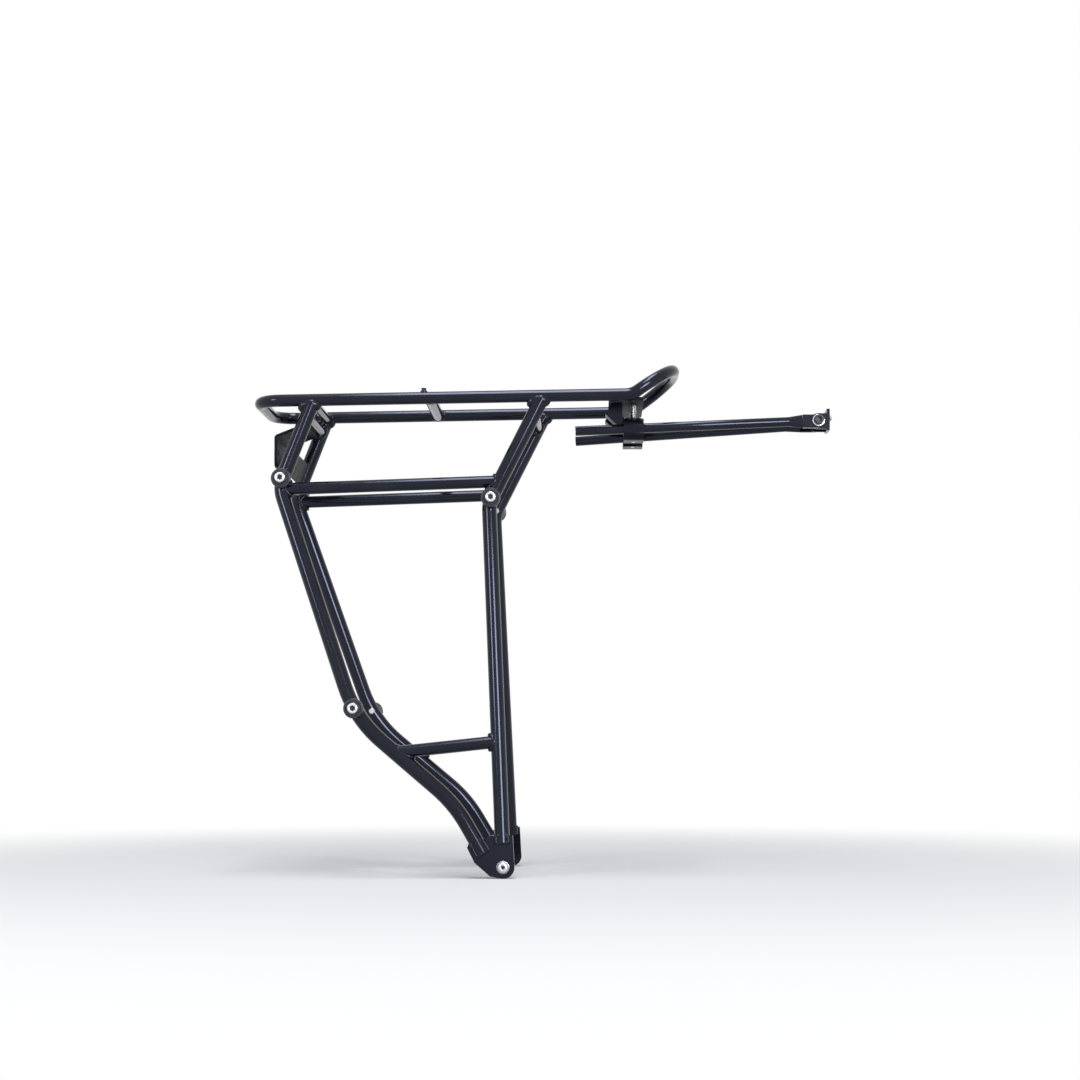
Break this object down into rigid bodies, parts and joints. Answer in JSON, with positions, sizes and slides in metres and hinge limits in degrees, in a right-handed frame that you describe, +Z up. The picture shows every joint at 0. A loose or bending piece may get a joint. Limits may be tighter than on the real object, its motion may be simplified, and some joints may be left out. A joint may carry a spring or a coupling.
{
  "type": "bicycle rear rack",
  "caption": "Welded rear pannier rack of black round bar: a looped deck with an upturned nose on splayed legs, side rails, and sliding front stays with a bracket for the seat tube.",
  "frame": {"origin": "midpoint between the bolt holes of the two feet, on the centre plane", "axes": "+X to the bicycle's front, +Y to its left, +Z up; +Y runs along the feet's bolt holes"},
  "size_m": [0.4745, 0.1672, 0.4195],
  "materials": {
    "frame_coat": "satin black powder coat over welded aluminium bar",
    "clamp_coat": "satin black",
    "rod_coat": "gloss black",
    "dark_disc": "satin dark grey",
    "bolt_steel": "bright zinc plated"
  },
  "bodies": {
    "frame": {"deck_hoop": "frame_coat", "rear_leg_right": "frame_coat", "rear_leg_left": "frame_coat", "front_leg_right": "frame_coat", "front_leg_left": "frame_coat", "foot_plate_right": "frame_coat", "foot_plate_left": "frame_coat", "side_rail_right": "frame_coat", "side_rail_left": "frame_coat", "lower_strut_right": "frame_coat", "lower_strut_left": "frame_coat", "rear_tie": "frame_coat", "front_tie": "frame_coat", "rear_crossbar": "frame_coat", "middle_crossbar": "frame_coat", "strap_nubs": "frame_coat", "front_bridge": "frame_coat", "light_bracket": "frame_coat", "tail_strip": "frame_coat", "pannier_bosses": "frame_coat", "pannier_discs": "dark_disc", "pannier_screws": "bolt_steel"},
    "front_stays": {"stay_rod_right": "rod_coat", "stay_rod_left": "rod_coat", "cross_spacer": "bolt_steel", "cross_washers": "bolt_steel", "cross_bolt": "bolt_steel", "cross_nut": "bolt_steel"},
    "clamp_right": {"stay_clamp_right": "clamp_coat", "clamp_flange_right": "clamp_coat", "clamp_washer_right": "bolt_steel", "clamp_bolt_right": "bolt_steel"},
    "clamp_left": {"stay_clamp_left": "clamp_coat", "clamp_flange_left": "clamp_coat", "clamp_washer_left": "bolt_steel", "clamp_bolt_left": "bolt_steel"},
    "bracket": {"seat_bracket": "rod_coat"}
  },
  "joints": [
    {"name": "stays_slide", "type": "slide", "parent": "frame", "child": "front_stays", "axis": [0.9985, 0, 0.0546], "range_m": [-0.025, 0.03]},
    {"name": "clamp_right_shift", "type": "slide", "parent": "frame", "child": "clamp_right", "axis": [0, -1, 0], "range_m": [-0.0025, 0.0025]},
    {"name": "clamp_left_shift", "type": "slide", "parent": "frame", "child": "clamp_left", "axis": [0, 1, 0], "range_m": [-0.0025, 0.0025]},
    {"name": "bracket_tilt", "type": "hinge", "parent": "front_stays", "child": "bracket", "pos_m": [0.2577, 0, 0.3647], "axis": [0, 1, 0], "range_deg": [-30, 30]}
  ],
  "couplings": [
    {"joint": "clamp_right_shift", "follows": "stays_slide", "ratio": 0.0794},
    {"joint": "clamp_left_shift", "follows": "stays_slide", "ratio": 0.0794}
  ]
}
